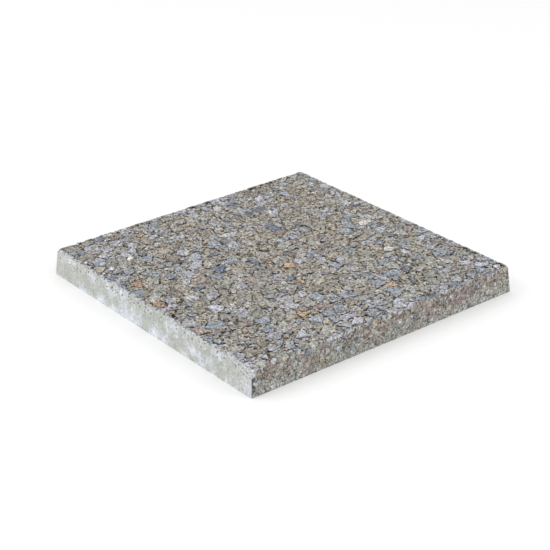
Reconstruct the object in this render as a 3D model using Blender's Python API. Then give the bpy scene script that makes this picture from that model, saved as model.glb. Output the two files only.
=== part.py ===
"""Square exposed-aggregate concrete paver, modelled as one solid.

The slab is pressed in a steel mould whose sides lean out towards the open end, so the
walking face is a little smaller than the bed face.  The upright corners are rounded in
plan, the arris round the walking face is worn round, and the bed edge is nearly sharp.

Metres, +Z up.  The origin is the centre of the bed face, and the sides face X and Y.
"""
import bmesh
import bpy

# Driving dimensions, in metres
BED_WIDTH = 0.450          # side of the square bed face, before its edge is rounded
THICKNESS = 0.038          # bed face to walking face
MOULD_DRAFT = 0.0035       # how far each side leans in over the whole thickness
CORNER_RADIUS = 0.004      # plan radius of the four upright corners
WALKING_ARRIS = 0.003      # rounding round the walking face
BED_ARRIS = 0.0006         # rounding round the bed face

# How finely the rounded edges are cut into flats
CORNER_FLATS = 6
WALKING_ARRIS_FLATS = 3
BED_ARRIS_FLATS = 1

# Surface finish
CONCRETE_COLOR = (0.22, 0.20, 0.18, 1.0)
CONCRETE_ROUGHNESS = 0.9

NODE_NAME = "paver"
SMALL = 1e-6


def clear_scene():
    """Remove whatever the scene starts with."""
    for old in list(bpy.data.objects):
        bpy.data.objects.remove(old, do_unlink=True)


def concrete_material():
    """Dull, dry concrete with exposed crushed stone."""
    material = bpy.data.materials.new("exposed_aggregate_concrete")
    material.use_nodes = True
    shader = material.node_tree.nodes["Principled BSDF"]
    shader.inputs["Base Color"].default_value = CONCRETE_COLOR
    shader.inputs["Roughness"].default_value = CONCRETE_ROUGHNESS
    shader.inputs["Metallic"].default_value = 0.0
    return material


def mould_block(bm):
    """A square block standing on z = 0, its walking face pulled in by the mould's draft."""
    bmesh.ops.create_cube(bm, size=1.0)
    bmesh.ops.translate(bm, verts=bm.verts, vec=(0.0, 0.0, 0.5))
    walking_width = BED_WIDTH - 2 * MOULD_DRAFT
    for vert in bm.verts:
        at_top = vert.co.z > 0.5
        width = walking_width if at_top else BED_WIDTH
        vert.co.x *= width
        vert.co.y *= width
        vert.co.z = THICKNESS if at_top else 0.0


def round_edges(bm, edges, radius, flats):
    """Round the given edges to a radius."""
    bmesh.ops.bevel(
        bm,
        geom=edges,
        offset=radius,
        offset_type="OFFSET",
        segments=flats,
        profile=0.5,
        affect="EDGES",
        clamp_overlap=True,
    )


def upright_edges(bm):
    """The four edges that run from the bed face to the walking face."""
    return [e for e in bm.edges if abs(e.verts[0].co.z - e.verts[1].co.z) > THICKNESS / 2]


def rim_edges(bm, height):
    """The edges round the flat face at a height."""
    return [
        edge
        for edge in bm.edges
        if all(abs(vert.co.z - height) < SMALL for vert in edge.verts)
        and any(abs(face.normal.z) < 0.5 for face in edge.link_faces)
    ]


def make_paver():
    """The whole slab, as one closed body."""
    bm = bmesh.new()
    mould_block(bm)
    round_edges(bm, upright_edges(bm), CORNER_RADIUS, CORNER_FLATS)
    bm.normal_update()
    round_edges(bm, rim_edges(bm, THICKNESS), WALKING_ARRIS, WALKING_ARRIS_FLATS)
    bm.normal_update()
    round_edges(bm, rim_edges(bm, 0.0), BED_ARRIS, BED_ARRIS_FLATS)
    bmesh.ops.recalc_face_normals(bm, faces=bm.faces)

    mesh = bpy.data.meshes.new(NODE_NAME)
    bm.to_mesh(mesh)
    bm.free()
    mesh.materials.append(concrete_material())
    paver = bpy.data.objects.new(NODE_NAME, mesh)
    bpy.context.scene.collection.objects.link(paver)
    return paver


def main():
    clear_scene()
    make_paver()


main()
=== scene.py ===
"""Washed exposed-aggregate paver: the looks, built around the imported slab.

The cement body is one closed mesh with drafted sides.  Crushed stone is laid into its
walking face grade by grade, largest first, the way a pressed slab packs, and the stones
that the mould cut show flush in the sides.
"""
import functools
import math

import bpy
import numpy as np
from mathutils import Matrix, Vector, geometry


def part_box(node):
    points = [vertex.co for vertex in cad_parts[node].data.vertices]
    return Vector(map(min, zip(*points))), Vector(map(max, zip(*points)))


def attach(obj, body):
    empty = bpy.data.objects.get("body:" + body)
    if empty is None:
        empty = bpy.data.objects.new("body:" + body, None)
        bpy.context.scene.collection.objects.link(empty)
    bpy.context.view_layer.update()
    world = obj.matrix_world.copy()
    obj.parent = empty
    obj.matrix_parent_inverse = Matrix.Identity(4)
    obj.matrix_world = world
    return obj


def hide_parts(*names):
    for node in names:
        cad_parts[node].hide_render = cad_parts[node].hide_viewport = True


bl_info = {
    "name": "Exposed-aggregate paver",
    "version": (1, 0, 0),
    "blender": (4, 5, 0),
    "location": "3D View > Sidebar > Paver",
    "description": "Builds a washed exposed-aggregate paver around its packed solid",
    "category": "Object",
}

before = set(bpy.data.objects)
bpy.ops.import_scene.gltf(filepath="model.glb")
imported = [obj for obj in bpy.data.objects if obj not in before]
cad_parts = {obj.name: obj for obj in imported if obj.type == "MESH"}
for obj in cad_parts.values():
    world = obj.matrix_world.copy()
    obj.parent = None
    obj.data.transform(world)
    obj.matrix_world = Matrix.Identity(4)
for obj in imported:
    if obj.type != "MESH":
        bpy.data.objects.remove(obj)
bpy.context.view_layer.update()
CAD_NODE = "paver"
BODY = "root"
LOW, HIGH = (Vector(corner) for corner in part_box(CAD_NODE))

BAKE_MAP = "OFBake"                  # the flat map that a piece's finish is laid out on

MM = 0.001
THICK = HIGH.z - LOW.z               # bed face to walking face
BED_HALF = (HIGH.x - LOW.x) / 2      # centre to side at the bed
SEED = 450


# ---------------------------------------------------------------------------- helpers

def linear(hex_colour):
    """Turn an sRGB hex colour into Blender's linear RGBA."""
    parts = [int(hex_colour[i:i + 2], 16) / 255 for i in (0, 2, 4)]
    return (*(c / 12.92 if c <= 0.04045 else ((c + 0.055) / 1.055) ** 2.4 for c in parts), 1.0)


def shade(colour, factor):
    """A colour made darker or lighter by a factor."""
    return tuple(min(part * factor, 1.0) for part in tuple(colour)[:3]) + (1.0,)


def per_mm(size):
    """Texture scale whose features are about size millimetres across."""
    return 1.0 / (size * MM)


def smooth(low, high, value):
    """0 below low, 1 above high, and smooth between."""
    t = np.clip((value - low) / (high - low), 0.0, 1.0)
    return t * t * (3.0 - 2.0 * t)


def ripple(points, size, seed, waves=20):
    """Smooth random field, about -1 to 1, with features of a size, at an array of points."""
    rng = np.random.default_rng(SEED + seed)
    turn = rng.normal(size=(waves, points.shape[1]))
    turn /= np.linalg.norm(turn, axis=1)[:, None]
    turn *= math.pi / size * rng.uniform(0.6, 1.5, (waves, 1))
    phase = rng.uniform(0.0, math.tau, waves)
    return np.cos(points @ turn.T + phase).sum(1) / math.sqrt(waves)


def mark_points(mesh, marks):
    """Give a mesh's points named values, which its materials read."""
    for mark, values in marks.items():
        mesh.attributes.new(mark, "FLOAT", "POINT").data.foreach_set(
            "value", values.astype(np.float32))


def finished_piece(name, mesh):
    """A checked mesh as an object, which rides on the slab."""
    mesh.validate()
    piece = bpy.data.objects.new(name, mesh)
    bpy.context.scene.collection.objects.link(piece)
    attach(piece, BODY)
    return piece


# --------------------------------------------------------------------------- settings

def length_property(name, description, default):
    return bpy.props.FloatProperty(
        name=name, description=description, default=default, min=0.0, unit="LENGTH")


def colour_property(name, description, default):
    return bpy.props.FloatVectorProperty(
        name=name, description=description, default=linear(default), size=4, min=0.0, max=1.0,
        subtype="COLOR")


class PaverSizes(bpy.types.PropertyGroup):
    """Sizes that a user would change."""

    draft: length_property(
        "Mould draft", "How far each side leans in over the thickness", 3.5 * MM)
    corner: length_property("Corner radius", "Plan radius of the upright corners", 3.0 * MM)
    arris: length_property("Arris radius", "Wear round the edge of the walking face", 2.6 * MM)
    washed_depth: length_property(
        "Washed depth", "How far the cement is washed back below the stones", 1.6 * MM)
    side_pitch: length_property("Side mesh", "Distance between points on the sides", 1.45 * MM)
    face_pitch: length_property(
        "Face mesh", "Distance between points of the cement face", 2.0 * MM)


class PaverColours(bpy.types.PropertyGroup):
    """Colours of the cement and of each kind of rock."""

    paste: colour_property("Washed paste", "Sandy cement between the stones", "9e978d")
    ochre: colour_property("Ochre sand", "Warmer patches of the washed paste", "a69d8d")
    skin: colour_property("Mould skin", "Smooth cement against the mould", "b8bbb5")
    bloom: colour_property("Lime bloom", "Bluish lime on the mould skin", "cbcdd3")
    torn: colour_property("Rough side", "Rough cement of the torn sides", "958f87")
    torn_low: colour_property("Rough side, low", "The same, greyer near the bed", "9c9f99")
    grey_limestone: colour_property("Grey limestone", "The commonest stone", "a3a19c")
    lilac_limestone: colour_property("Lilac limestone", "Pale stone, faintly violet", "aeafb6")
    blue_basalt: colour_property("Blue basalt", "Blue-grey stone", "969ca5")
    brown_sandstone: colour_property("Brown sandstone", "Dull brown stone", "9e988f")
    rusty_sandstone: colour_property("Rusty sandstone", "Pinkish brown stone", "9a8e89")
    dark_slate: colour_property("Dark slate", "Dark blue-grey stone", "767c87")
    ironstone: colour_property("Ironstone", "Ochre stone", "bda18b")
    milky_quartz: colour_property("Milky quartz", "White to cream stone", "c6c4c0")
    green_chert: colour_property("Green chert", "Grey-green stone", "9b9c94")


def settings():
    return bpy.context.scene.paver_sizes, bpy.context.scene.paver_colours


# ------------------------------------------------------------------- the slab's shape

# Corners knocked off in handling: a point on the cut, and the way the cut faces
KNOCKS = (
    ((-0.2205, 0.2205, 0.0350), (-0.58, 0.50, 0.75)),
    ((0.2208, -0.2200, 0.0352), (0.62, -0.50, 0.72)),
    ((-0.2200, -0.2200, 0.0366), (-0.50, -0.50, 0.80)),
)
STONE_RISE = 0.6 * MM                # how far the proudest stones stand out of the face
FACE_SKIN = 0.15 * MM                # how far inside the mould the face's stones stay
SIDE_SKIN = 0.10 * MM                # the same for the stones that show in the sides


def half_width(height):
    """Centre to side at a height above the bed."""
    sizes, _ = settings()
    return BED_HALF - sizes.draft * height / THICK


def knock_corners(points):
    """Push points beyond a knocked corner back on to its cut."""
    for spot, facing in KNOCKS:
        facing = np.array(facing) / np.linalg.norm(facing)
        beyond = np.clip((points - np.array(spot)) @ facing, 0.0, None)
        points = points - beyond[:, None] * facing
    return points


def fit_mould(points, skin):
    """Push points back inside the mould, with its rounded arris, to a skin's depth."""
    sizes, _ = settings()
    radius = sizes.arris
    half = half_width(np.clip(points[:, 2], 0.0, THICK)) - skin
    level = np.full(len(points), THICK + STONE_RISE - radius)
    core = np.stack([half - radius, half - radius, level], 1)
    signs = np.where(points < 0, -1.0, 1.0)
    signs[:, 2] = 1.0
    over = np.clip(points * signs - core, 0.0, None)
    reach = np.linalg.norm(over, axis=1)
    back = np.where(reach > radius, radius / np.maximum(reach, 1e-9), 1.0)
    inside = np.minimum(points * signs, core) + over * back[:, None]
    inside[:, 2] = np.maximum(inside[:, 2], 2 * skin)
    return knock_corners(inside * signs)


def facing_x(points):
    """1 where a point belongs to a moulded side, facing X, and 0 where to a torn one."""
    return smooth(-0.5 * MM, 0.5 * MM, np.abs(points[:, 0]) - np.abs(points[:, 1]))


# ---------------------------------------------------------------- laying the stones

# Rock kinds: share of the face along its edges, in its middle, and of the torn sides;
# roughness
ROCKS = {
    "grey_limestone": (0.23, 0.40, 0.30, 0.85),
    "lilac_limestone": (0.36, 0.09, 0.02, 0.80),
    "blue_basalt": (0.24, 0.10, 0.03, 0.80),
    "brown_sandstone": (0.09, 0.27, 0.28, 0.90),
    "rusty_sandstone": (0.010, 0.025, 0.18, 0.90),
    "dark_slate": (0.015, 0.04, 0.03, 0.70),
    "ironstone": (0.0, 0.0, 0.0, 0.85),
    "milky_quartz": (0.008, 0.014, 0.0, 0.50),
    "green_chert": (0.03, 0.03, 0.02, 0.70),
}
ROCK_NAMES = list(ROCKS)
CLEAN_ROCKS = ("ironstone", "milky_quartz")     # kinds that the cement hardly sticks to
# Shares of the same kinds among the grit, which is sharp sand as well as crushed stone
GRIT_SHARES = np.array((0.28, 0.08, 0.08, 0.24, 0.02, 0.22, 0.004, 0.066, 0.01))

# Stones with a place of their own: kind, x, y, length, breadth in mm, and turn in degrees
PLACED = (
    ("ironstone", -197, 60, 24, 20, 70),
    ("ironstone", -207, -9, 22, 16, 80),
    ("ironstone", -4, -28, 20, 18, 40),
    ("ironstone", -18, 0, 14, 11, 60),
    ("ironstone", -23, -76, 13, 10, 30),
    ("ironstone", -83, -149, 19, 14, 120),
    ("ironstone", 65, -158, 16, 13, 10),
    ("rusty_sandstone", 20, -5, 13, 10, 20),
    ("rusty_sandstone", 52, 5, 13, 9, 70),
    ("rusty_sandstone", -66, 48, 14, 10, 40),
    ("ironstone", -106, 185, 15, 8, 80),
    ("ironstone", -166, -137, 13, 8, 60),
    ("milky_quartz", 149, 81, 14, 8, -38),
    ("milky_quartz", -86, 158, 10, 6, 90),
    ("milky_quartz", -44, -62, 9, 8, 0),
    ("milky_quartz", -15, -70, 8, 5, 80),
    ("milky_quartz", 63, -108, 12, 8, 10),
    ("milky_quartz", 35, -163, 13, 12, 60),
    ("milky_quartz", -105, -195, 13, 10, 30),
    ("milky_quartz", 1, 86, 9, 7, 20),
    ("milky_quartz", 24, -135, 8, 7, 0),
    ("milky_quartz", 209, -211, 15, 12, 30),
    ("milky_quartz", 35, 190, 21, 18, 30),
    ("milky_quartz", 180, 213, 19, 10, 20),
    ("milky_quartz", -158, 131, 14, 10, 40),
    ("milky_quartz", -214, 158, 11, 8, 80),
    ("lilac_limestone", -115, -187, 27, 22, 60),
    ("lilac_limestone", -168, -193, 19, 17, 20),
    ("lilac_limestone", -146, -202, 20, 15, 70),
    ("lilac_limestone", 0, -188, 17, 14, 40),
    ("lilac_limestone", 143, -202, 25, 18, 20),
    ("lilac_limestone", -196, 108, 22, 13, 30),
    ("blue_basalt", -60, -188, 20, 17, 130),
    ("blue_basalt", 80, -150, 15, 12, 40),
    ("blue_basalt", -10, -206, 25, 17, 15),
    ("blue_basalt", 168, -208, 25, 15, 10),
    ("blue_basalt", -63, 66, 19, 11, 20),
    ("blue_basalt", 125, -112, 20, 12, 35),
    ("blue_basalt", 103, 140, 19, 12, 25),
    ("dark_slate", -140, -2, 20, 15, 0),
    ("dark_slate", 13, 53, 18, 13, 140),
    ("dark_slate", 92, -172, 14, 11, 30),
    ("green_chert", 158, 113, 14, 13, 0),
)

# Open joints that no stone covers, as runs of points in mm
CREVICES = (
    ((-221, -54), (-210, -45), (-199, -33)),
    ((-186, -27), (-173, -13)),
    ((-205, -131), (-192, -124), (-180, -117)),
    ((-160, -150), (-150, -142), (-143, -135)),
    ((-143, -207), (-141, -197), (-130, -190), (-121, -177)),
    ((-186, -215), (-180, -203), (-177, -192)),
    ((-166, -117), (-151, -100)),
)
CREVICE_WIDTH = 2.2 * MM             # the gap that the stones leave
CREVICE_DEPTH = 2.0 * MM             # how much deeper the paste lies in it
CREVICE_REACH = 1.6 * MM             # how far the paste slopes down towards it

# Grades of stone in the walking face: piece, largest and smallest length in mm, tries,
# overlap allowed, edge step as a share of the length, and how far down its face may lie
GRADES = (
    ("coarse_stones", 25.0, 10.0, 5200, 0.10, 0.14, (0.0, 1.2)),
    ("medium_stones", 10.0, 6.0, 3200, 0.10, 0.24, (0.1, 1.5)),
    ("fine_stones", 6.0, 3.4, 4000, 0.12, 0.40, (0.4, 1.9)),
    ("grit", 3.4, 1.8, 12000, 0.18, 0.80, (0.7, 2.2)),
)
# Stones with a place of their own in the -Y side: kind, x, height, length, breadth in mm,
# and turn in degrees
PLACED_IN_SIDE = (
    ("rusty_sandstone", -193, 30, 25, 14, 5),
    ("dark_slate", -132, 32, 19, 12, 10),
    ("blue_basalt", -92, 31, 15, 13, 60),
    ("rusty_sandstone", -37, 28, 17, 12, 70),
    ("rusty_sandstone", -11, 28, 14, 9, 150),
    ("rusty_sandstone", 74, 28, 14, 10, 20),
    ("rusty_sandstone", 122, 24, 20, 15, 60),
    ("blue_basalt", 50, 20, 10, 8, 30),
    ("rusty_sandstone", 150, 24, 11, 9, 40),
    ("rusty_sandstone", 198, 28, 18, 10, 160),
)
# The stones that show in the sides: largest and smallest length in mm, tries, overlap
TORN_GRADE = (15.0, 5.0, 900, 0.08)
MOULDED_GRADE = (12.0, 5.0, 260, 0.05)
MOULDED_BAND = 10 * MM               # how far below the arris stones show in moulded sides
CELL = 0.5 * MM
NEAR_SCALE, SCALE_FALL = 1.40, 0.62  # the stones are larger towards the near corner
PLACED_COVER = 0.015                 # most of a stone that may lie over a placed one
PLACED_DROP = 0.1 * MM               # how far below the face a placed stone lies
CROWD_REACH = 2.5 * MM               # joints narrower than about this are washed out deep


class Bed:
    """A map of which parts of a flat face are already covered."""

    def __init__(self, half_along, half_up):
        self.half = np.array([half_along, half_up])
        self.count = (2 * self.half / CELL).astype(int)
        self.filled = np.zeros(self.count, bool)
        self.kept = self.filled.copy()

    def cells(self, outline):
        """The window of cells round a convex outline, and which of them it covers."""
        low = np.clip(((outline.min(0) + self.half) / CELL).astype(int), 0, self.count - 1)
        high = np.clip(((outline.max(0) + self.half) / CELL).astype(int) + 1, 1, self.count)
        u = (np.arange(low[0], high[0]) + 0.5) * CELL - self.half[0]
        v = (np.arange(low[1], high[1]) + 0.5) * CELL - self.half[1]
        inside = np.ones((len(u), len(v)), bool)
        for start, end in zip(outline, np.roll(outline, -1, 0)):
            run, rise = end - start
            inside &= run * (v[None, :] - start[1]) - rise * (u[:, None] - start[0]) >= 0
        return (slice(low[0], high[0]), slice(low[1], high[1])), inside

    def keep(self, outline):
        """Cover the outline's cells, and keep them clear of what is laid later."""
        window, inside = self.cells(outline)
        self.filled[window] |= inside
        self.kept[window] |= inside

    def lay(self, outline, most_overlap):
        """Cover the outline's cells, unless more than a share of them is covered already."""
        window, inside = self.cells(outline)
        area = inside.sum()
        if (area == 0 or (self.filled[window] & inside).sum() > most_overlap * area
                or (self.kept[window] & inside).sum() > PLACED_COVER * area):
            return False
        self.filled[window] |= inside
        return True

    def free_spots(self, rng, count):
        """Random points that nothing covers yet."""
        picked = rng.choice(np.flatnonzero(~self.filled), count)
        cells = np.stack(np.unravel_index(picked, self.filled.shape), 1)
        return (cells + rng.uniform(0.0, 1.0, cells.shape)) * CELL - self.half


def crevice_cracks():
    """The start and end of each straight stretch of the open joints, in metres."""
    runs = [[np.array(spot) * MM for spot in run] for run in CREVICES]
    return [stretch for run in runs for stretch in zip(run, run[1:])]


def crushed_outline(rng, length, breadth, turn):
    """Convex, angular outline of a crushed stone, anticlockwise, about its own centre."""
    corners = rng.integers(5, 8)
    angle = (np.arange(corners) + rng.uniform(-0.8, 0.8, corners)) * math.tau / corners
    reach = rng.uniform(0.65, 1.15, corners)
    shape = np.stack([np.cos(angle), np.sin(angle)], 1) * reach[:, None]
    shape = (shape - shape.min(0)) / np.ptp(shape, axis=0) - 0.5
    spin = np.array([[math.cos(turn), -math.sin(turn)], [math.sin(turn), math.cos(turn)]])
    shape = (shape * (length, breadth)) @ spin.T
    return shape[geometry.convex_hull_2d([tuple(p) for p in shape])]


def local_mean(filled, reach):
    """The mean of a map over a square window, reach cells to each side."""
    window = np.full(2 * reach + 1, 1 / (2 * reach + 1))
    mean = filled.astype(float)
    for axis in (0, 1):
        mean = np.apply_along_axis(np.convolve, axis, mean, window, "same")
    return mean


def towards_far(spot):
    """0 at the near corner of the walking face, 1 at the far one."""
    return float(np.clip(0.5 + (spot[0] + spot[1]) / (4 * BED_HALF), 0.0, 1.0))


def in_middle(spot):
    """1 in the middle of the walking face, where the stones are browner, 0 at its edges."""
    away = float(spot @ spot) / BED_HALF ** 2
    return min(max(1.0 - 0.9 * away + 0.7 * max(towards_far(spot) - 0.5, 0.0), 0.0), 1.0)


def place_stones(rng, bed, rows, middle):
    """Lay the stones that have a place of their own: a list of (outline, rock, drop)."""
    stones = []
    for kind, x, up, length, breadth, turn in rows:
        outline = crushed_outline(rng, length * MM, breadth * MM, math.radians(turn))
        outline = outline + np.array([x * MM, up * MM - middle])
        bed.keep(outline)
        stones.append((outline, ROCK_NAMES.index(kind), PLACED_DROP))
    return stones


def lay_grade(rng, bed, grade, shares_at, scale_at, drops):
    """Lay one grade on a bed at random: a list of (outline, rock, drop)."""
    largest, smallest, tries, overlap = grade
    laid = []
    for number, spot in enumerate(bed.free_spots(rng, tries)):
        length = (largest + (smallest - largest) * (number / tries) ** 0.8) * scale_at(spot) * MM
        breadth = length * rng.uniform(0.58, 0.95)
        outline = crushed_outline(rng, length, breadth, rng.uniform(0.0, math.pi)) + spot
        share = shares_at(spot)
        rock = rng.choice(len(share), p=share / share.sum())
        drop = rng.uniform(*drops) * MM
        if bed.lay(outline, overlap):
            laid.append((outline, rock, drop))
    return laid


@functools.cache
def face_stones():
    """Every stone of the walking face, as {grade: [(outline, rock, drop)]}, and a map of
    how crowded the larger ones are."""
    rng = np.random.default_rng(SEED)
    half = half_width(THICK)
    bed = Bed(half, half)
    edges, middle = (np.array([row[k] for row in ROCKS.values()]) for k in (0, 1))
    stones = {grade[0]: [] for grade in GRADES}
    for start, end in crevice_cracks():
        across = np.array([start[1] - end[1], end[0] - start[0]])
        across *= CREVICE_WIDTH / 2 / np.linalg.norm(across)
        bed.keep(np.array([start - across, end - across, end + across, start + across]))
    for row, stone in zip(PLACED, place_stones(rng, bed, PLACED, 0.0)):
        stones[next(grade[0] for grade in GRADES if row[3] > grade[2])].append(stone)
    for name, *grade, _, drops in GRADES:
        if name == GRADES[2][0]:
            crowded = local_mean(bed.filled, round(CROWD_REACH / CELL))
        stones[name] += lay_grade(
            rng, bed, grade,
            lambda spot: GRIT_SHARES if name == "grit" else (
                edges + (middle - edges) * in_middle(spot)),
            lambda spot: NEAR_SCALE - SCALE_FALL * towards_far(spot),
            drops)
    return stones, crowded


def side_stones(rng, torn, placed):
    """The stones that show in one side, about its middle: [(outline, rock, drop)]."""
    half_along = half_width(THICK) - 3 * MM
    share = np.array([row[2 if torn else 0] for row in ROCKS.values()])
    bed = Bed(half_along, THICK / 2 - 1.5 * MM)
    if not torn:
        bed.filled[:, :bed.count[1] - int(MOULDED_BAND / CELL)] = True
    stones = place_stones(rng, bed, placed, THICK / 2)
    grade = TORN_GRADE if torn else MOULDED_GRADE
    drops = (0.0, 0.5) if torn else (0.0, 0.25)
    return stones + lay_grade(rng, bed, grade, lambda spot: share / share.sum(),
                              lambda spot: 1.0, drops)


# -------------------------------------------------------------------- stone meshes

def on_face(local):
    """Turn points local to the walking face (along, up, out) into slab points."""
    return np.column_stack([local[:, 0], local[:, 1], THICK + local[:, 2]])


def on_side(turns):
    """A function that turns points local to a side into slab points: 0 is -Y, 1 is +X."""
    def place(local):
        height = local[:, 1] + THICK / 2
        out = half_width(height) + local[:, 2]
        across, deep = local[:, 0], -out
        cos, sin = ((1, 0), (0, 1), (-1, 0), (0, -1))[turns]
        return np.column_stack([across * cos - deep * sin, across * sin + deep * cos, height])
    return place


FLAT_SHRINK = 0.86                   # a stone's face, in its map, against its outline
FLAT_SPAN = 0.96                     # the part of a map that the faces take up


def flat_map(local, centre, shrink, shelf):
    """Map points local to a face on to a flat map, shrunk towards their stone's centre.
    The shelf moves a side's stones up the map, clear of the opposite side's."""
    flat = centre + (local[:, :2] - centre) * shrink
    return (flat / (2 * BED_HALF) + (0.5, 0.5 + shelf)) * FLAT_SPAN


class StonePile:
    """Closed stones gathered into one mesh."""

    def __init__(self):
        self.points, self.faces, self.rocks = [], [], []
        self.tones, self.shifts, self.dusts, self.dirts, self.corners = [], [], [], [], []
        self.total = 0

    def add_map(self, local_rings, shelf):
        """Lay one stone's faces out flat: the face, the flank round it and, in a strip at
        the side, the hidden foot. It matches the order of the faces in add."""
        outline = local_rings[-2]
        centre = outline[:, :2].mean(0)
        here = np.arange(len(outline))
        after = (here + 1) % len(outline)
        rings = [flat_map(ring, centre, FLAT_SHRINK, shelf) for ring in local_rings[:-1]]
        rings.append(flat_map(outline, centre, 1.0, shelf))
        middle = np.broadcast_to(rings[0].mean(0), (len(here), 2))
        self.corners.append(np.stack([rings[0][here], rings[0][after], middle], 1))
        for upper, lower in zip(rings, rings[1:]):
            self.corners.append(
                np.stack([upper[here], lower[here], lower[after], upper[after]], 1))
        strip = np.array([0.985, 0.5]) + 0.2 * (rings[-1] - middle) * (0.5, 1.0)
        self.corners.append(np.stack(
            [strip[after], strip[here], np.broadcast_to(strip.mean(0), (len(here), 2))], 1))

    def add(self, rings, peak, foot, rock, tone, shift, dust, dirt):
        """Add one stone from rings of equal count, face to foot, and its two end points."""
        count = len(rings[0])
        base = self.total
        self.points += [*rings, peak[None], foot[None]]
        top_point = base + count * len(rings)
        here = np.arange(count)
        after = (here + 1) % count
        last = base + count * (len(rings) - 1)
        faces = [(base + a, base + b, top_point) for a, b in zip(here, after)]
        for level in range(len(rings) - 1):
            upper, lower = base + level * count, base + (level + 1) * count
            faces += [(upper + a, lower + a, lower + b, upper + b) for a, b in zip(here, after)]
        faces += [(last + b, last + a, top_point + 1) for a, b in zip(here, after)]
        self.faces += faces
        self.rocks += [rock] * len(faces)
        made = count * len(rings) + 2
        self.tones.append(np.full(made, tone))
        self.shifts.append(np.tile(shift, (made, 1)))
        for kept, rows in ((self.dusts, dust), (self.dirts, dirt)):
            kept.append(np.concatenate([np.repeat(rows, count), [rows[0], rows[-1]]]))
        self.total += made

    def build(self, name, skin):
        """Make the mesh, trimmed to the mould, with the marks that its materials read."""
        points = fit_mould(np.concatenate(self.points), skin)
        mesh = bpy.data.meshes.new(name)
        mesh.from_pydata(points.tolist(), [], self.faces)
        for material in rock_materials():
            mesh.materials.append(material)
        mesh.polygons.foreach_set("material_index", self.rocks)
        inset = half_width(THICK) - np.abs(points[:, 0])
        open_edge = smooth(0.5 * MM, 6 * MM, half_width(THICK) - np.abs(points[:, :2]).max(1))
        low = smooth(THICK - 0.5 * MM, THICK - 3.5 * MM, points[:, 2])
        reach = np.where(points[:, 0] < 0, 10 * MM, 3 * MM)
        filmed = smooth(reach, -1 * MM, inset) * (0.60 + 0.35 * low)
        marks = {
            "stone_tone": np.concatenate(self.tones),
            "stone_dust": np.concatenate(self.dusts),
            # Dirt and painted shade in the joint round each stone, weaker near the slab's edges
            "stone_dirt": np.concatenate(self.dirts) * (0.25 + 0.75 * open_edge),
            "stone_film": filmed,
        }
        mark_points(mesh, marks)
        mesh.attributes.new("stone_shift", "FLOAT_VECTOR", "POINT").data.foreach_set(
            "vector", np.concatenate(self.shifts).astype(np.float32).ravel())
        spread = np.concatenate([corners.reshape(-1, 2) for corners in self.corners])
        mesh.uv_layers.new(name=BAKE_MAP).uv.foreach_set(
            "vector", np.clip(spread, 0.001, 0.999).astype(np.float32).ravel())
        return finished_piece(name, mesh)


def stepped_edge(rng, outline, step):
    """The outline with points along its edges, nicked inwards a little."""
    centre = outline.mean(0)
    points = []
    for start, end in zip(outline, np.roll(outline, -1, 0)):
        parts = max(1, round(float(np.linalg.norm(end - start)) / step))
        nicks = [0.0, *rng.uniform(0.0, 0.16, parts - 1)]
        points += [start + (end - start) * k / parts + (centre - start) * nick
                   for k, nick in enumerate(nicks)]
    return np.array(points)


def add_stone(pile, rng, place, stone, step, crowned, shelf=0.0):
    """One crushed stone: a tilted, faceted face, a broken shoulder and a buried foot.
    Dirt and painted shade lie in the joint round its shoulder."""
    outline, rock, drop = stone
    size = float(np.ptp(outline, axis=0).mean())
    edge = stepped_edge(rng, outline, step * size)
    centre = edge.mean(0)
    count = len(edge)
    calm = 1.0 - 0.65 * smooth(14 * MM, 4 * MM, half_width(THICK) - np.abs(centre).max())
    drop = drop * calm
    lean = rng.normal(0.0, 0.06, 2) * calm

    def ring(scale, fall, rough):
        flat = centre + (edge - centre) * scale
        height = (flat - centre) @ lean - drop - fall + rng.uniform(-rough, rough, count)
        return np.column_stack([flat, height])

    rings = []
    if crowned:
        rings.append(ring(rng.uniform(0.3, 0.6, (count, 1)), 0.0, 0.035 * size))
    rings.append(ring(rng.uniform(0.80, 0.96, (count, 1)), 0.015 * size, 0.025 * size))
    rings.append(ring(1.0, size * rng.uniform(0.04, 0.12, count), 0.01 * size))
    rings.append(ring(0.90, min(size * 0.5, 4.5 * MM) + 1.5 * MM, 0.0))
    peak = np.array([[*centre, rng.uniform(-0.015, 0.05) * size - drop]])
    foot = np.array([[*centre, rings[-1][:, 2].min() - 0.2 * MM]])
    film = rng.uniform(-0.25, 0.15) + 0.42 * max(towards_far(centre) - 0.35, 0.0)
    film += 0.15 * in_middle(centre)
    film += 0.14 * ripple(centre[None], 50 * MM, 13)[0] + 0.35 * smooth(8 * MM, 3 * MM, size)
    if ROCK_NAMES[rock] in CLEAN_ROCKS:
        film = -0.4
    dust = np.array([film] * (len(rings) - 2) + [film + 0.15, 1.2])
    # How strong the dirt and painted shade in the joint are: strongest at the near corner
    joint = 1.05 - 0.6 * towards_far(centre)
    dirt = np.array([0.0] * (len(rings) - 2) + [joint, joint])
    pile.add([place(r) for r in rings], place(peak)[0], place(foot)[0],
             rock, rng.uniform(), rng.uniform(-1.0, 1.0, 3), dust, dirt)
    pile.add_map(rings, shelf)


# ----------------------------------------------------------------------- the body

def outer_path(half, radius, pitch):
    """Points round a square with rounded corners, anticlockwise from the +X side."""
    straight = 2 * (half - radius)
    along = max(2, round(straight / pitch))
    bend = max(3, round(math.pi / 2 * radius / (0.6 * pitch)))
    points = []
    for quarter in range(4):
        turn = quarter * math.pi / 2
        side = [(half, -straight / 2 + straight * k / along) for k in range(along)]
        arc = [
            (half - radius + radius * math.cos(a), half - radius + radius * math.sin(a))
            for a in (k / bend * math.pi / 2 for k in range(bend))
        ]
        cos, sin = math.cos(turn), math.sin(turn)
        points += [(x * cos - y * sin, x * sin + y * cos) for x, y in side + arc]
    return np.array(points)


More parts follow.
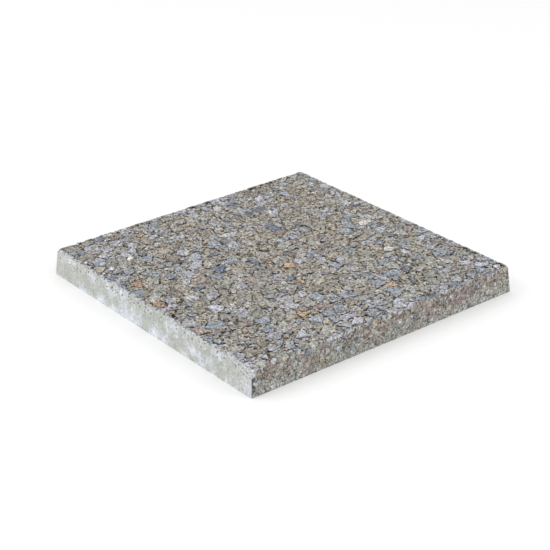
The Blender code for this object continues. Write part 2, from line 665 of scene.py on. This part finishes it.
def profile_rows():
    """Inset and height of each ring of points, from the bed edge up and over the arris."""
    sizes, _ = settings()
    rows = [(0.7 * MM, 0.0), (0.2 * MM, 0.2 * MM)]
    top = THICK - sizes.arris
    count = round(top / sizes.side_pitch)
    rows += [(sizes.draft * z / THICK, z) for z in (top * (k + 0.6) / count for k in range(count))]
    for k in range(4):
        angle = k / 3 * math.pi / 2
        inset = sizes.draft + sizes.arris * (1 - math.cos(angle))
        rows.append((inset, top + sizes.arris * math.sin(angle)))
    inner = sizes.draft + sizes.arris
    return rows + [(inner + sizes.side_pitch * 1.2 * k, THICK) for k in range(1, 6)]


# The washed face is cut down from this far below the walking face
WASH_REACH = 5.0 * MM
JOINT_DEPTH = 1.5 * MM               # how much deeper the wash reaches in narrow joints


def crevice_depth(flat):
    """How much further the open joints cut into the paste, at points of the face."""
    nearest = np.full(len(flat), np.inf)
    for start, end in crevice_cracks():
        along = np.clip((flat - start) @ (end - start) / np.sum((end - start) ** 2), 0, 1)
        away = flat - start - along[:, None] * (end - start)
        nearest = np.minimum(nearest, np.linalg.norm(away, axis=1))
    return CREVICE_DEPTH * np.exp(-(nearest / CREVICE_REACH) ** 2)


# Soft patches on the sides: x, y, height, reach along, reach up in mm, and strength.
# Limed is whiter where positive and tan where negative; darkened is darker where positive and
# paler where negative.
PATCHES = {
    "limed": (
        (-225, 106, 9, 9, 10, 1.0), (-225, 130, 1, 45, 5, 0.8), (-225, 36, 1, 16, 6, 0.8),
        (-225, -23, 15, 7, 9, 1.0), (-225, -24, 2, 22, 8, 1.1), (-225, -134, 13, 16, 6, 0.7),
        (-225, -200, 12, 26, 7, 0.6), (-225, -72, 28, 14, 8, 0.5), (-225, 185, 28, 18, 9, 0.4),
        (-225, -129, 27, 3, 3, 1.2), (-225, -95, 1, 12, 5, 0.5), (-225, 50, 27, 22, 9, 0.3),
        (-225, 138, 20, 14, 10, -0.9), (-225, 75, 16, 14, 9, -0.4), (-225, -60, 8, 20, 8, -0.4),
        (-225, 212, 10, 12, 8, -0.3), (-225, 0, 20, 18, 8, -0.4),
    ),
    "stained": (
        (-221, -225, 19, 7, 13, 1.0), (-177, -225, 22, 2, 12, 0.7), (-215, -225, 33, 12, 3, 0.5),
        (50, -225, 20, 5, 5, 0.5), (205, -225, 8, 22, 9, -0.25), (-150, -225, 20, 20, 9, 0.1),
    ),
    "rosy": (
        (-190, -225, 29, 14, 8, 0.8), (-37, -225, 29, 9, 9, 0.9), (-11, -225, 29, 9, 8, 0.9),
        (75, -225, 24, 18, 13, 1.0), (121, -225, 23, 14, 12, 1.1), (150, -225, 24, 8, 9, 0.8),
        (180, -225, 30, 22, 8, 1.0), (210, -225, 32, 14, 7, 0.8), (25, -225, 30, 20, 8, 0.6),
        (205, -225, 6, 25, 10, -1.2), (100, -225, 3, 90, 6, -0.8), (-215, -225, 8, 12, 8, 0.4),
    ),
}


def patch_strength(points, patches):
    """How strongly a list of soft patches marks each point."""
    total = np.zeros(len(points))
    for x, y, height, along, up, strength in patches:
        away = (points - np.array([x, y, height]) * MM) / (np.array([along, along, up]) * MM)
        total += strength * np.exp(-np.sum(away ** 2, axis=1))
    return total


def relief(points):
    """The body's points with the relief of each side and of the washed face, how washed
    each one is, and how far it is sunk."""
    sizes, _ = settings()
    flat = points[:, :2]
    x, y, z = points.T
    on_x = facing_x(points)
    inset = half_width(np.clip(z, 0, THICK)) - np.maximum(np.abs(x), np.abs(y))

    # Moulded sides are calm, with a few hollows; torn sides are rough all over
    calm = 0.10 + 0.07 * ripple(points, 25 * MM, 1) + 0.04 * ripple(points, 5 * MM, 2)
    hollow = 0.9 * smooth(0.9, 1.8, ripple(points, 9 * MM, 11)) * smooth(0.3, 0.9, z / THICK)
    rough = (0.85 + 0.30 * ripple(points, 13 * MM, 3) + 0.36 * ripple(points, 5 * MM, 4)
             + 0.26 * ripple(points, 2.8 * MM, 5))
    depth = np.clip(on_x * (calm + hollow) + (1 - on_x) * rough, 0.0, None) * MM
    depth *= smooth(0.0, 2.5 * MM, z) * smooth(8 * MM, 3 * MM, inset)
    facing = np.column_stack([np.sign(x) * on_x, np.sign(y) * (1 - on_x)])
    out = points.copy()
    out[:, :2] -= facing * depth[:, None]

    # The wash stops at a ragged rim of mould skin, wide on the moulded sides
    wide = 1.7 + 2.0 * ripple(flat, 9 * MM, 6) + 1.7 * ripple(flat, 3.5 * MM, 7)
    wide = np.where(x < 0, wide, 1.0 + 0.4 * wide)
    narrow = 2.0 + 1.1 * ripple(flat, 5 * MM, 12)
    rim = (narrow + (wide - narrow) * on_x) * MM
    washed = smooth(0.0, 1.5 * MM, inset - rim) * smooth(THICK - 4.0 * MM, THICK - 1.5 * MM, z)
    rim_drop = np.clip(0.35 + 0.3 * ripple(flat, 5 * MM, 10), 0.0, None) * MM
    swell = 1 + 0.42 * ripple(flat, 7 * MM, 8) + 0.30 * ripple(flat, 3.2 * MM, 9)
    _, crowded = face_stones()
    cell = np.clip(((flat + half_width(THICK)) / CELL).astype(int), 0, len(crowded) - 1)
    joint = JOINT_DEPTH * smooth(0.55, 0.90, crowded[cell[:, 0], cell[:, 1]])
    low = sizes.washed_depth * np.clip(swell, 0.1, None) + joint + crevice_depth(flat)
    drop = rim_drop + washed * np.clip(low - rim_drop, 0.0, None)
    left = 1 - np.clip(drop / WASH_REACH, 0.0, 0.9)
    start = THICK - WASH_REACH
    out[:, 2] = np.where(z > start, start + (z - start) * left, z)
    return out, washed, drop / WASH_REACH * smooth(start, THICK, z)


def scattered(inner, pitch, rng):
    """Points scattered evenly inside a square ring."""
    half = np.abs(inner).max() - 0.8 * pitch
    count = int(2 * half / pitch)
    line = (np.arange(count) + 0.5) / count * 2 * half - half
    grid = np.stack(np.meshgrid(line, line), -1).reshape(-1, 2)
    return grid + rng.uniform(-0.35, 0.35, grid.shape) * pitch


def fill_ring(ring, inside, ring_start, first_inside):
    """Triangles over a ring and the points inside it, as indices into the whole mesh."""
    count = len(ring)
    points = [Vector(p) for p in np.concatenate([ring, inside])]
    edges = [(k, (k + 1) % count) for k in range(count)]
    made, _, faces, sources, *_ = geometry.delaunay_2d_cdt(points, edges, [], 1, 1e-7)
    if len(made) != len(points):
        raise RuntimeError("the fill made points of its own")
    place = [ring_start + s[0] if s[0] < count else first_inside + s[0] - count for s in sources]
    return [tuple(place[v] for v in face) for face in faces]


FACE_SQUARE = (0.260, 0.260, 0.510)  # middle and side of the walking face on the map
BED_SQUARE = (0.755, 0.235, 0.450)
STRIP_START, STRIP_PITCH, STRIP_HIGH = 0.53, 0.117, 0.113


def body_map(count, levels, points, fills):
    """Where each corner of the body's faces lies on its flat map: the sides as four strips,
    then the walking face and the bed as squares."""
    quarter, step = np.divmod(np.arange(count), count // 4)
    along = 0.005 + 0.99 * np.stack([step, step + 1, step + 1, step], 1) / (count // 4)
    spread = []
    for level in range(levels):
        up = np.array([level, level, level + 1, level + 1]) / levels
        up = STRIP_START + STRIP_PITCH * quarter[:, None] + STRIP_HIGH * up
        spread.append(np.stack([along, up], -1).reshape(-1, 2))
    for faces, (x, y, side), mirror in zip(fills, (FACE_SQUARE, BED_SQUARE), (1, -1)):
        corners = points[np.array(faces).ravel(), :2] * (mirror, 1)
        spread.append(corners / (2 * BED_HALF) * side + (x, y))
    return np.concatenate(spread)


def make_body(name, material):
    """The cement body as one closed mesh."""
    sizes, _ = settings()
    rng = np.random.default_rng(SEED + 1)
    path = outer_path(BED_HALF, sizes.corner, sizes.side_pitch)
    rows = profile_rows()
    count = len(path)
    rings = [path * (BED_HALF - inset) / BED_HALF for inset, _ in rows]
    here = np.arange(count)
    after = (here + 1) % count
    faces = []
    for level in range(len(rows) - 1):
        lower, upper = level * count, (level + 1) * count
        faces += np.stack([lower + here, lower + after, upper + after, upper + here], 1).tolist()
    face_fill = scattered(rings[-1], sizes.face_pitch, rng)
    bed_fill = scattered(rings[0], 4 * sizes.face_pitch, rng)
    first_face = count * len(rows)
    first_bed = first_face + len(face_fill)
    fills = (fill_ring(rings[-1], face_fill, count * (len(rows) - 1), first_face),
             [face[::-1] for face in fill_ring(rings[0], bed_fill, 0, first_bed)])
    faces += fills[0] + fills[1]
    heights = np.concatenate([
        np.repeat([height for _, height in rows], count),
        np.full(len(face_fill), THICK),
        np.zeros(len(bed_fill)),
    ])
    points = np.column_stack([np.concatenate([*rings, face_fill, bed_fill]), heights])
    shaped, washed, sunk = relief(points)
    shaped = knock_corners(shaped)

    mesh = bpy.data.meshes.new(name)
    mesh.from_pydata(shaped.tolist(), [], faces)
    mesh.materials.append(material)
    smooth_bed = smooth(0.3 * MM, 0.0, heights)
    marks = {"washed": washed, "sunk": sunk, "moulded": np.maximum(facing_x(points), smooth_bed)}
    marks |= {name: patch_strength(points, patches) for name, patches in PATCHES.items()}
    mark_points(mesh, marks)
    mesh.uv_layers.new(name=BAKE_MAP).uv.foreach_set(
        "vector", body_map(count, len(rows) - 1, points, fills).astype(np.float32).ravel())
    mesh.shade_smooth()
    return finished_piece(name, mesh)


# ----------------------------------------------------------------------- materials

# Settings that several nodes share
BLEND = {"data_type": "RGBA"}
DARKEN = {"data_type": "RGBA", "blend_type": "MULTIPLY"}
LIGHTEN = {"data_type": "RGBA", "blend_type": "ADD"}
ADD = {"operation": "ADD"}
SCALE_AND_ADD = {"operation": "MULTIPLY_ADD"}
SOFT_STEP = {"interpolation_type": "SMOOTHSTEP"}


def add_node(tree, kind, own=None, inputs=None):
    """Add a shader node with its own settings, and set or link its inputs."""
    made = tree.nodes.new("ShaderNode" + kind)
    own = dict(own or {})
    stops = own.pop("stops", ())
    for name, value in own.items():
        setattr(made, name, value)
    for number, (place, colour) in enumerate(stops):
        if number >= len(made.color_ramp.elements):
            made.color_ramp.elements.new(place)
        element = made.color_ramp.elements[number]
        element.position = place
        element.color = (colour,) * 3 + (1.0,) if isinstance(colour, float) else colour
    for name, value in (inputs or {}).items():
        if isinstance(value, bpy.types.NodeSocket):
            tree.links.new(value, made.inputs[name])
        else:
            made.inputs[name].default_value = value
    return made


def start_material(name, roughness, specular):
    """A named material, its node tree and its Principled shader."""
    material = bpy.data.materials.new(name)
    material.use_nodes = True
    tree = material.node_tree
    shader = tree.nodes["Principled BSDF"]
    shader.inputs["Roughness"].default_value = roughness
    shader.inputs["Specular IOR Level"].default_value = specular
    shader.inputs["Metallic"].default_value = 0.0
    return material, tree, shader


# Noise patterns of the cement: grain in mm, detail and roughness
CEMENT_NOISES = {
    "fine": (3.2, 4.0, 0.7),         # sand and pinholes
    "drift": (16, 3.0, 0.6),         # slow change from grey cement to ochre sand
    "cloud": (18, 7.0, 0.66),        # lime bloom on the mould skin
    "blotch": (8, 3.0, 0.6),         # whiter spots high on the mould skin
    "patch": (20, 4.0, 0.6),         # pinkish and greenish areas of the torn sides
}
# Noise patterns of the stones, the same way; those of the rock itself differ on each stone
ROCK_NOISES = {"mottle": (6.0, 6.0, 0.72), "speck": (3.2, 4.0, 0.72)}
FILM_NOISES = {"smear": (6.0, 3.0, 0.6), "drift": (16, 3.0, 0.6)}
CEMENT_BUMP = 0.9 * MM
ROCK_BUMP = 1.8 * MM


def paste_hue(tree, drift):
    """The washed paste's colour, which drifts from grey cement to ochre sand."""
    _, colours = settings()
    return add_node(tree, "ValToRGB", {"stops": (
        (0.42, tuple(colours.paste)), (0.58, tuple(colours.ochre)))}, {"Fac": drift}).outputs[0]


def cement_material():
    """Washed, pressed concrete.  The face is dull, gritty, sandy paste with dark pinholes;
    the moulded sides are pale and smooth with cloudy lime; the torn sides are rough."""
    _, colours = settings()
    material, tree, shader = start_material("washed_concrete", 0.92, 0.25)
    place = add_node(tree, "TexCoord").outputs["Object"]
    height = add_node(tree, "SeparateXYZ", inputs={0: place}).outputs["Z"]
    washed, sunk, moulded, limed, stained, rosy = (
        add_node(tree, "Attribute", {"attribute_name": name}).outputs["Fac"]
        for name in ("washed", "sunk", "moulded", *PATCHES))
    fine, drift, cloud, blotch, patch = (
        add_node(tree, "TexNoise", inputs={
            "Vector": place, "Scale": per_mm(grain), "Detail": detail, "Roughness": rough,
        }).outputs["Fac"] for grain, detail, rough in CEMENT_NOISES.values())

    # Sand grains of the washed paste, each its own tone, with dark holes between and a painted
    # glint added to the brightest
    grains = add_node(tree, "TexVoronoi", inputs={"Vector": place, "Scale": per_mm(3.0)})
    grain_draw = add_node(tree, "SeparateColor", inputs={0: grains.outputs["Color"]}).outputs[0]
    sand, painted_glint = (
        add_node(tree, "ValToRGB", {"stops": stops}, {"Fac": grain_draw}).outputs[0]
        for stops in (((0.0, 0.10), (0.17, 0.30), (0.27, 0.95), (0.8, 1.10), (1.0, 1.10)),
                      ((0.80, 0.0), (0.95, 0.16))))
    holes, scuff = (
        add_node(tree, "ValToRGB", {"stops": stops}, {"Fac": fine}).outputs[0]
        for stops in (((0.39, 0.12), (0.45, 0.88), (0.54, 1.12), (0.62, 1.55)),
                      ((0.34, 0.70), (0.48, 1.0), (0.66, 1.16))))
    # Painted shade: the paste is darker the deeper it is sunk between the stones, and a little
    # lighter where it stands high
    deep = add_node(tree, "ValToRGB", {"stops": ((0.30, 1.15), (0.50, 0.85), (0.75, 0.35))},
                    {"Fac": sunk}).outputs[0]
    paste = add_node(tree, "Mix", DARKEN, {0: 1.0, 6: paste_hue(tree, drift), 7: sand})
    paste = add_node(tree, "Mix", LIGHTEN, {0: 1.0, 6: paste.outputs[2], 7: painted_glint}).outputs[2]
    for factor in (holes, deep):
        paste = add_node(tree, "Mix", DARKEN, {0: 1.0, 6: paste, 7: factor}).outputs[2]

    # Mould skin: pale and cloudy, with lime bloom that thickens towards the bed
    low_down = add_node(tree, "MapRange", inputs={
        "Value": height, "From Min": 0.0, "From Max": 16 * MM, "To Min": 0.03, "To Max": -0.02})
    blotch = add_node(tree, "MapRange", inputs={
        "Value": blotch, "From Min": 0.42, "From Max": 0.62, "To Min": -0.03, "To Max": 0.06})
    upper = add_node(tree, "MapRange", inputs={
        "Value": height, "From Min": 18 * MM, "From Max": 30 * MM})
    bloom = add_node(tree, "Math", ADD, {0: cloud, 1: low_down.outputs[0]}).outputs[0]
    for amount, times in ((limed, 0.13), (upper.outputs[0], blotch.outputs[0])):
        bloom = add_node(tree, "Math", SCALE_AND_ADD, {0: amount, 1: times, 2: bloom}).outputs[0]
    skin = add_node(tree, "ValToRGB", {"stops": (
        (0.32, shade(colours.skin, 0.84)), (0.48, tuple(colours.skin)),
        (0.58, shade(colours.bloom, 0.97)), (0.70, shade(colours.bloom, 1.22)))},
        {"Fac": bloom}).outputs[0]

    # Air pits of the mould skin, ragged and larger towards the walking face
    frayed = add_node(tree, "TexNoise", inputs={"Vector": place, "Scale": per_mm(2.0)})
    bent = add_node(tree, "VectorMath", SCALE_AND_ADD, {
        0: frayed.outputs["Color"], 1: (3.0 * MM,) * 3, 2: place}).outputs[0]
    pits = add_node(tree, "TexVoronoi", inputs={"Vector": bent, "Scale": per_mm(5.0)})
    pit_draw = add_node(tree, "SeparateColor", inputs={0: pits.outputs["Color"]}).outputs[0]
    pit_size = add_node(tree, "MapRange", inputs={
        "Value": height, "From Min": 17 * MM, "From Max": THICK, "To Min": 0.0, "To Max": 0.45})
    pit_size = add_node(tree, "Math", {"operation": "MULTIPLY"}, {
        0: pit_draw, 1: pit_size.outputs[0]}).outputs[0]
    pit = add_node(tree, "Math", {"operation": "SUBTRACT"}, {
        0: pits.outputs["Distance"], 1: pit_size}).outputs[0]
    pit = add_node(tree, "ValToRGB", {"stops": ((0.0, 0.35), (0.10, 1.0))},
                   {"Fac": pit}).outputs[0]
    for factor in (scuff, pit):
        skin = add_node(tree, "Mix", DARKEN, {0: 1.0, 6: skin, 7: factor}).outputs[2]

    # Torn side: grey brown, streaked where the blade or the next slab dragged on it
    low_torn = add_node(tree, "MapRange", inputs={
        "Value": height, "From Min": 6 * MM, "From Max": 22 * MM, "To Min": 0.16, "To Max": -0.02})
    shift = add_node(tree, "Math", ADD, {0: patch, 1: low_torn.outputs[0]})
    shift = add_node(tree, "Math", SCALE_AND_ADD, {0: rosy, 1: -0.24, 2: shift.outputs[0]})
    torn = add_node(tree, "ValToRGB", {"stops": (
        (0.32, shade(colours.rusty_sandstone, 0.84)), (0.47, tuple(colours.torn)),
        (0.62, shade(colours.torn_low, 1.04)))}, {"Fac": shift.outputs[0]}).outputs[0]
    leant = add_node(tree, "Mapping", {"vector_type": "TEXTURE"}, {
        "Vector": place, "Rotation": (0.0, 0.6, 0.0), "Scale": (1.0, 1.0, 1.8)}).outputs[0]
    drag = add_node(tree, "TexNoise", inputs={
        "Vector": leant, "Scale": per_mm(2.4), "Detail": 3.0, "Roughness": 0.7}).outputs["Fac"]
    dragged = add_node(tree, "ValToRGB", {"stops": (
        (0.38, 0.20), (0.45, 0.90), (0.56, 1.08), (0.64, 1.50))}, {"Fac": drag}).outputs[0]
    # Listed patches of the torn side are darker, a few paler
    darkening = add_node(tree, "MapRange", inputs={
        "Value": stained, "From Min": -1.0, "From Max": 1.0, "To Min": 1.5, "To Max": 0.45})
    for amount, factor in ((1.0, dragged), (0.85, holes), (1.0, darkening.outputs[0])):
        torn = add_node(tree, "Mix", DARKEN, {0: amount, 6: torn, 7: factor}).outputs[2]

    side = add_node(tree, "Mix", BLEND, {0: moulded, 6: torn, 7: skin}).outputs[2]
    ragged = add_node(tree, "Math", SCALE_AND_ADD, {0: fine, 1: 1.2, 2: -0.60}).outputs[0]
    edge = add_node(tree, "Math", ADD, {0: washed, 1: ragged}).outputs[0]
    edge = add_node(tree, "MapRange", SOFT_STEP, {
        "Value": edge, "From Min": 0.35, "From Max": 0.6}).outputs[0]
    whole = add_node(tree, "Mix", BLEND, {0: edge, 6: side, 7: paste}).outputs[2]
    tree.links.new(whole, shader.inputs["Base Color"])

    # The skin is smooth; paste and torn sides are gritty
    grit = add_node(tree, "Math", SCALE_AND_ADD, {0: fine, 1: 2.0, 2: grain_draw}).outputs[0]
    strength = add_node(tree, "Mix", {"data_type": "FLOAT"}, {0: moulded, 2: 1.0, 3: 0.22})
    strength = add_node(tree, "Mix", {"data_type": "FLOAT"}, {
        0: edge, 2: strength.outputs[0], 3: 1.0}).outputs[0]
    bump = add_node(tree, "Bump", inputs={
        "Strength": strength, "Distance": CEMENT_BUMP, "Height": grit})
    tree.links.new(bump.outputs[0], shader.inputs["Normal"])
    return material


def rock_material(name, colour, roughness):
    """One kind of crushed rock: a broken, dull face, mottled and flecked, under the thin
    smears of cement that the wash left on it, with dark dirt and painted shade in the joint round
    it."""
    _, colours = settings()
    material, tree, shader = start_material(name, roughness, 0.35)
    place = add_node(tree, "TexCoord").outputs["Object"]
    tone, dust, dirt, filmed = (
        add_node(tree, "Attribute", {"attribute_name": name}).outputs["Fac"]
        for name in ("stone_tone", "stone_dust", "stone_dirt", "stone_film"))
    shift = add_node(tree, "Attribute", {"attribute_name": "stone_shift"}).outputs["Vector"]
    own = add_node(tree, "VectorMath", ADD, {0: place, 1: shift}).outputs[0]
    mottle, speck, smear, drift = (
        add_node(tree, "TexNoise", inputs={
            "Vector": space, "Scale": per_mm(grain), "Detail": detail, "Roughness": rough,
        }).outputs["Fac"]
        for space, noises in ((own, ROCK_NOISES), (place, FILM_NOISES))
        for grain, detail, rough in noises.values())

    # Stones differ a little from each other, and each one is mottled and flecked; each 5 mm cell
    # of a face is painted lighter or darker, as a broken facet would be lit
    facet_cells = add_node(tree, "TexVoronoi", inputs={"Vector": own, "Scale": per_mm(5.0)})
    painted_facet_shade = add_node(tree, "SeparateColor", inputs={0: facet_cells.outputs["Color"]}).outputs[0]
    level = -0.67
    for amount, times in ((tone, 0.44), (mottle, 1.65), (painted_facet_shade, 0.36)):
        level = add_node(tree, "Math", SCALE_AND_ADD, {0: amount, 1: times, 2: level}).outputs[0]
    stone = add_node(tree, "ValToRGB", {"stops": (
        (0.05, shade(colour, 0.58)), (0.5, tuple(colour)), (0.95, shade(colour, 1.42)))},
        {"Fac": level}).outputs[0]

    # Cement left by the wash: patches on the face, all of the buried flank
    spread = add_node(tree, "Math", SCALE_AND_ADD, {0: smear, 1: 2.0, 2: -1.0}).outputs[0]
    cover = add_node(tree, "Math", ADD, {0: dust, 1: spread}).outputs[0]
    cover = add_node(tree, "MapRange", SOFT_STEP, {
        "Value": cover, "From Min": 0.30, "From Max": 0.60}).outputs[0]
    pits = add_node(tree, "TexVoronoi", inputs={"Vector": place, "Scale": per_mm(3.4)})
    pit_draw = add_node(tree, "SeparateColor", inputs={0: pits.outputs["Color"]}).outputs[0]
    pits = add_node(tree, "ValToRGB", {"stops": ((0.15, 0.20), (0.22, 1.08))},
                    {"Fac": pit_draw}).outputs[0]
    flecks = add_node(tree, "ValToRGB", {"stops": (
        (0.40, 0.14), (0.45, 0.86), (0.55, 1.10), (0.60, 1.80))}, {"Fac": speck}).outputs[0]
    paste = paste_hue(tree, drift)
    for on_stone, factor in ((0.75, flecks), (0.35, pits)):
        stone = add_node(tree, "Mix", DARKEN, {0: on_stone, 6: stone, 7: factor}).outputs[2]
        paste = add_node(tree, "Mix", DARKEN, {0: 1.0, 6: paste, 7: factor}).outputs[2]
    smeared = add_node(tree, "Mix", BLEND, {0: cover, 6: stone, 7: paste}).outputs[2]

    # Dirt and painted shade in the joints, in patches
    patchy = add_node(tree, "MapRange", inputs={
        "Value": smear, "From Min": 0.36, "From Max": 0.54, "To Min": 0.50, "To Max": 1.1})
    dirt = add_node(tree, "Math", {"operation": "MULTIPLY"}, {
        0: dirt, 1: patchy.outputs[0]}).outputs[0]
    joint_darkening = add_node(tree, "ValToRGB", {"stops": ((0.22, 1.0), (0.75, 0.15))},
                      {"Fac": dirt}).outputs[0]
    smeared = add_node(tree, "Mix", DARKEN, {0: 1.0, 6: smeared, 7: joint_darkening}).outputs[2]

    # Mould skin left on the stones along the moulded sides
    skin = add_node(tree, "ValToRGB", {"stops": (
        (0.36, shade(colours.skin, 0.55)), (0.46, tuple(colours.skin)),
        (0.60, shade(colours.bloom, 1.15)))}, {"Fac": speck}).outputs[0]
    coat = add_node(tree, "Math", ADD, {0: filmed, 1: spread}).outputs[0]
    coat = add_node(tree, "MapRange", SOFT_STEP, {
        "Value": coat, "From Min": 0.35, "From Max": 0.60}).outputs[0]
    whole = add_node(tree, "Mix", BLEND, {0: coat, 6: smeared, 7: skin}).outputs[2]
    tree.links.new(whole, shader.inputs["Base Color"])
    bump = add_node(tree, "Bump", inputs={
        "Strength": 1.0, "Distance": ROCK_BUMP, "Height": speck})
    tree.links.new(bump.outputs[0], shader.inputs["Normal"])
    return material


@functools.cache
def rock_materials():
    """One material for each rock kind, in the order of ROCKS."""
    _, colours = settings()
    return [
        rock_material("crushed_" + name, getattr(colours, name), row[3])
        for name, row in ROCKS.items()
    ]


# ----------------------------------------------------------------------- operators

def make_grade(number):
    """Make one grade of the stones in the walking face."""
    name, _, _, _, _, step, _ = GRADES[number]
    rng = np.random.default_rng(SEED + 10 + number)
    pile = StonePile()
    for stone in face_stones()[0][name]:
        add_stone(pile, rng, on_face, stone, step, crowned=number == 0)
    pile.build(name, FACE_SKIN)


def make_side_stones(name, turns, torn):
    """Make the stones that show in two opposite sides."""
    rng = np.random.default_rng(SEED + 20 + turns[0])
    pile = StonePile()
    for turn, shelf in zip(turns, (-0.42, 0.42)):
        for stone in side_stones(rng, torn, PLACED_IN_SIDE if turn == 0 else ()):
            add_stone(pile, rng, on_side(turn), stone, 0.2, crowned=torn, shelf=shelf)
    pile.build(name, SIDE_SKIN)


class PAVER_OT_cement_body(bpy.types.Operator):
    """Make the cement body: drafted sides, washed face and flat bed"""

    bl_idname = "paver.cement_body"
    bl_label = "Cement body"

    def execute(self, context):
        body = make_body("cement_body", cement_material())
        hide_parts(CAD_NODE)
        return {"FINISHED"}


class PAVER_OT_face_stones(bpy.types.Operator):
    """Lay the crushed stones in the walking face, from the coarse ones to the grit"""

    bl_idname = "paver.face_stones"
    bl_label = "Face stones"

    def execute(self, context):
        for number in range(len(GRADES)):
            make_grade(number)
        return {"FINISHED"}


class PAVER_OT_side_stones(bpy.types.Operator):
    """Set the stones that show in the torn and the moulded sides"""

    bl_idname = "paver.side_stones"
    bl_label = "Side stones"

    def execute(self, context):
        make_side_stones("torn_side_stones", (0, 2), torn=True)
        make_side_stones("moulded_side_stones", (1, 3), torn=False)
        return {"FINISHED"}


# The camera stands over the near corner, which faces -X and -Y
CAMERA_AZIMUTH = math.radians(-38.43)
CAMERA_ELEVATION = math.radians(26.19)
CAMERA_ROLL = math.radians(-0.70)
CAMERA_DISTANCE = 2.155
CAMERA_SLIDE = (-0.0065, 0.0098)     # right and up, in the camera's own plane
CAMERA_LENS = 101.6                  # mm, on a 36 mm sensor
CAMERA_SENSOR = 36.0

FLOOR_HALF = 40.0
FLOOR_GAP = 0.05 * MM

SKY = 0.96
# Soft lights: name, place, side of the square, watts
LIGHTS = (
    ("key", (-1.7, 0.75, 1.5), 1.6, 13.0),
    ("fill", (1.2, -1.9, 1.1), 1.6, 10.0),
)


class PAVER_OT_stage(bpy.types.Operator):
    """Set the camera, the pale floor and the soft studio light"""

    bl_idname = "paver.stage"
    bl_label = "Stage"

    def execute(self, context):
        scene = context.scene
        camera_data = bpy.data.cameras.new("camera")
        camera_data.sensor_width = CAMERA_SENSOR
        camera_data.lens = CAMERA_LENS
        camera_data.clip_start = 0.05
        camera_data.clip_end = 50.0
        camera = bpy.data.objects.new("camera", camera_data)
        turn = (Matrix.Rotation(CAMERA_AZIMUTH, 4, "Z")
                @ Matrix.Rotation(math.pi / 2 - CAMERA_ELEVATION, 4, "X")
                @ Matrix.Rotation(CAMERA_ROLL, 4, "Z"))
        camera.matrix_world = turn @ Matrix.Translation((*CAMERA_SLIDE, CAMERA_DISTANCE))
        scene.collection.objects.link(camera)
        scene.camera = camera

        mesh = bpy.data.meshes.new("floor")
        corners = ((-1, -1), (1, -1), (1, 1), (-1, 1))
        mesh.from_pydata(
            [(x * FLOOR_HALF, y * FLOOR_HALF, -FLOOR_GAP) for x, y in corners], [], [(0, 1, 2, 3)])
        floor_material, _, floor_shader = start_material("pale_studio_floor", 0.9, 0.1)
        floor_shader.inputs["Base Color"].default_value = linear("f8f8f8")
        mesh.materials.append(floor_material)
        floor = bpy.data.objects.new("floor", mesh)
        scene.collection.objects.link(floor)

        world = bpy.data.worlds.new("studio")
        world.use_nodes = True
        sky = world.node_tree.nodes["Background"]
        sky.inputs["Color"].default_value = (1.0, 1.0, 1.0, 1.0)
        sky.inputs["Strength"].default_value = SKY
        scene.world = world

        for name, spot, side, power in LIGHTS:
            light_data = bpy.data.lights.new(name, "AREA")
            light_data.shape = "SQUARE"
            light_data.size = side
            light_data.energy = power
            light = bpy.data.objects.new(name, light_data)
            light.location = spot
            light.rotation_euler = Vector(spot).to_track_quat("Z", "Y").to_euler()
            scene.collection.objects.link(light)

        scene.view_settings.view_transform = "Standard"
        return {"FINISHED"}


class PAVER_PT_panel(bpy.types.Panel):
    """Lists the paver's sizes, colours and pieces"""

    bl_label = "Paver"
    bl_idname = "PAVER_PT_panel"
    bl_space_type = "VIEW_3D"
    bl_region_type = "UI"
    bl_category = "Paver"

    def draw(self, context):
        layout = self.layout
        for group in (context.scene.paver_sizes, context.scene.paver_colours):
            for name in group.__annotations__:
                layout.prop(group, name)
        for step in STEPS:
            layout.operator(step.bl_idname)


STEPS = (
    PAVER_OT_stage,
    PAVER_OT_cement_body,
    PAVER_OT_face_stones,
    PAVER_OT_side_stones,
)
CLASSES = (PaverSizes, PaverColours, *STEPS, PAVER_PT_panel)


def register():
    for cls in CLASSES:
        bpy.utils.register_class(cls)
    bpy.types.Scene.paver_sizes = bpy.props.PointerProperty(type=PaverSizes)
    bpy.types.Scene.paver_colours = bpy.props.PointerProperty(type=PaverColours)


def unregister():
    del bpy.types.Scene.paver_colours
    del bpy.types.Scene.paver_sizes
    for cls in reversed(CLASSES):
        bpy.utils.unregister_class(cls)


def main():
    register()
    for step in STEPS:
        family, name = step.bl_idname.split(".")
        getattr(getattr(bpy.ops, family), name)()


if __name__ == "__main__":
    main()
